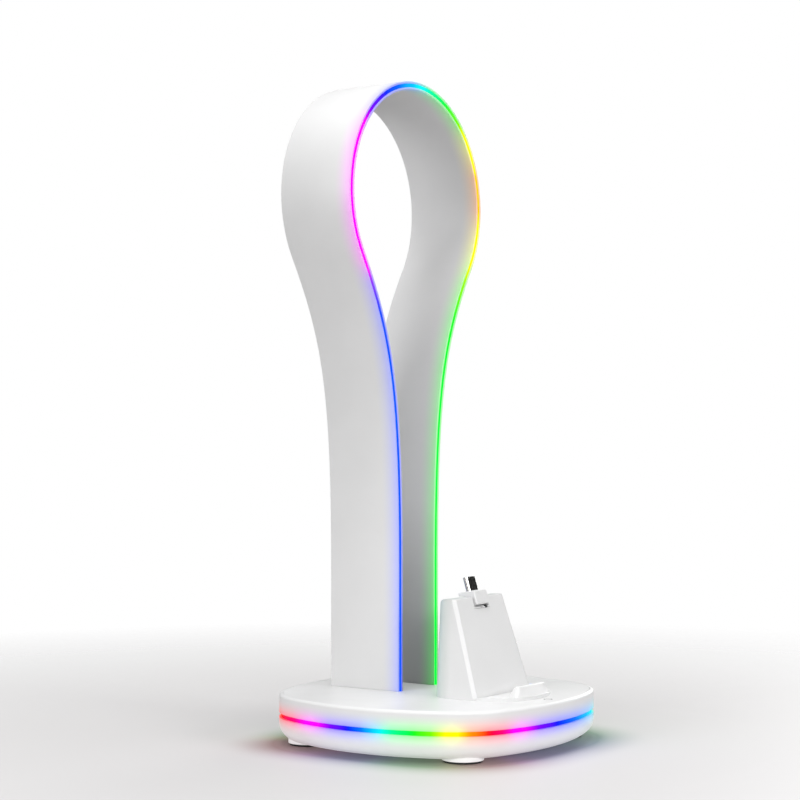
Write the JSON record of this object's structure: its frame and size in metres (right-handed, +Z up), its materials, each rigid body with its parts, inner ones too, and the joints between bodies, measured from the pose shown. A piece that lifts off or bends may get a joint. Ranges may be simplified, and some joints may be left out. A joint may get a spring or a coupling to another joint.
{
  "type": "headphone stand",
  "caption": "Headphone stand: rounded base with a light ring, a keyhole-shaped ribbon loop with a lit edge, and a controller charging dock with a lift-off plug adapter.",
  "frame": {"origin": "middle of the base, on the surface the rubber feet rest on", "axes": "+Z up, -Y towards the front (the dock side), +X to the right seen from the front"},
  "size_m": [0.142, 0.137, 0.3143],
  "materials": {
    "ballast_steel": "zinc plated steel",
    "black_plastic": "black moulded plastic",
    "bracket_aluminium": "die cast",
    "circuit_board": "green solder mask",
    "copper": "gold plated contact",
    "flex_tape": "flexible circuit tape",
    "foot_rubber": "soft rubber",
    "grey_print": "grey inlay",
    "indicator_lens": "tinted lens",
    "inner_plastic": "natural ABS",
    "lamp": "light emitting diode package",
    "light_diffuser": "milky light diffuser",
    "light_diffuser_loop": "milky light diffuser",
    "magnet": "nickel plated magnet",
    "plated_metal": "nickel plated",
    "plug_metal": "nickel plated",
    "screw_steel": "zinc plated steel",
    "white_adapter": "satin white ABS",
    "white_dock": "satin white ABS",
    "white_dock_face": "fine textured white ABS",
    "white_dock_seat": "satin white ABS",
    "white_loop": "satin white ABS",
    "white_loop_inner": "satin white ABS",
    "white_panel": "satin white ABS",
    "white_shell": "satin white ABS"
  },
  "bodies": {
    "stand": {"ballast_plate": "ballast_steel", "base_bottom_shell": "white_shell", "base_screws": "screw_steel", "base_top_panel": "white_panel", "base_top_shell": "white_shell", "board_posts": "inner_plastic", "board_screws": "screw_steel", "bracket_screws": "screw_steel", "dock_board": "circuit_board", "dock_contacts": "copper", "dock_face_panel": "white_dock_face", "dock_indicator": "indicator_lens", "dock_magnets": "magnet", "dock_pocket": "black_plastic", "dock_screws": "screw_steel", "dock_seat": "white_dock_seat", "dock_shell": "white_dock", "foot_pad_back_left": "foot_rubber", "foot_pad_back_right": "foot_rubber", "foot_pad_front_left": "foot_rubber", "foot_pad_front_right": "foot_rubber", "leg_screws": "screw_steel", "light_ring": "light_diffuser", "loop_core": "inner_plastic", "loop_inner_skin": "white_loop_inner", "loop_led_tape": "flex_tape", "loop_leds": "lamp", "loop_light_strip": "light_diffuser_loop", "loop_outer_skin": "white_loop", "main_board": "circuit_board", "main_board_chips": "black_plastic", "post_bracket": "bracket_aluminium", "power_board": "circuit_board", "power_socket_shell": "plated_metal", "power_socket_tongue": "black_plastic", "ring_led_tape": "flex_tape", "ring_leds": "lamp", "touch_mark": "grey_print", "touch_sensor": "copper"},
    "adapter": {"dongle_housing": "white_adapter", "dongle_cover": "white_adapter", "dongle_keeper": "ballast_steel", "dongle_contacts": "copper", "plug_shell": "plug_metal", "plug_insert": "black_plastic"}
  },
  "joints": [
    {"name": "adapter_lift", "type": "slide", "parent": "stand", "child": "adapter", "axis": [0, 0.2914, 0.9566], "range_m": [0, 0.02]}
  ]
}
